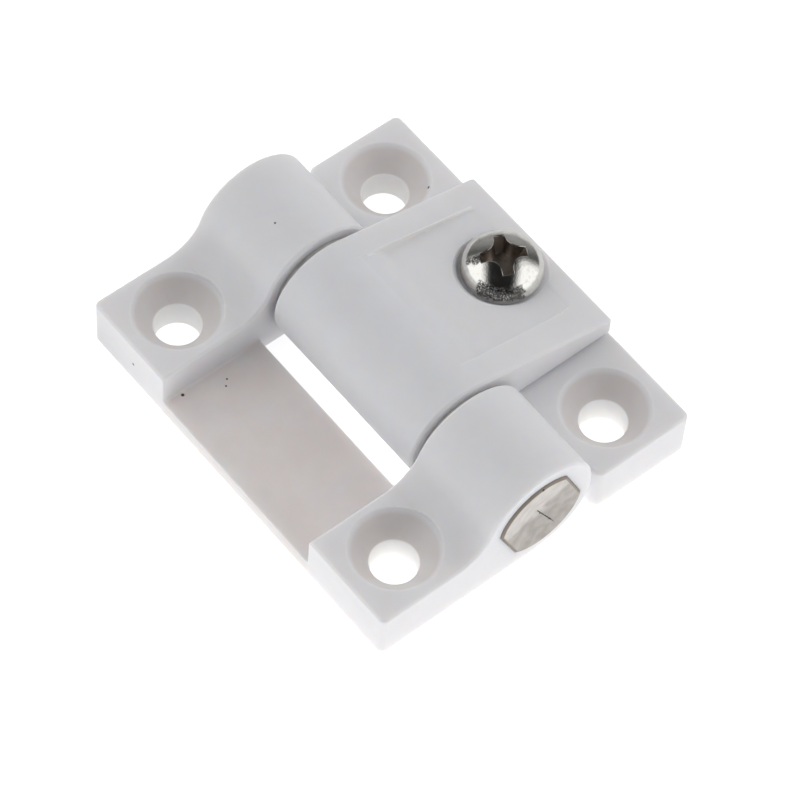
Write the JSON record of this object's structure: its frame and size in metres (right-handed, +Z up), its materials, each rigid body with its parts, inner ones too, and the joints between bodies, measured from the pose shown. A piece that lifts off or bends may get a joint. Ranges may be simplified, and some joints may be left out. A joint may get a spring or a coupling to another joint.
{
  "type": "friction hinge",
  "caption": "Adjustable friction hinge with flat countersunk leaves, a keyed pin in a split clamp barrel and a cross-recess screw that sets the drag.",
  "frame": {"origin": "on the base plane, below the middle of the pin", "axes": "+X along the pin towards the end whose mould line shows, +Y towards the clamp leaf, +Z up from the mounting surface"},
  "size_m": [0.0642, 0.0536, 0.0183],
  "materials": {
    "leaf_plastic": "satin white moulded acetal",
    "pin_plastic": "natural off-white moulded plastic",
    "plated_steel": "bright nickel plate"
  },
  "bodies": {
    "clamp_side": {"clamp_leaf": "leaf_plastic", "clamp_nut": "plated_steel"},
    "fork_side": {"fork_leaf": "leaf_plastic", "hinge_pin": "pin_plastic"},
    "adjuster": {"adjusting_screw": "plated_steel"}
  },
  "joints": [
    {"name": "leaf_hinge", "type": "hinge", "parent": "clamp_side", "child": "fork_side", "pos_m": [0, 0, 0.00915], "axis": [-1, 0, 0], "range_deg": [-90, 175]},
    {"name": "adjuster_turn", "type": "hinge", "parent": "clamp_side", "child": "adjuster", "pos_m": [0, 0.01935, 0.0124], "axis": [0, 0, 1], "range_deg": [-144, 360]}
  ]
}
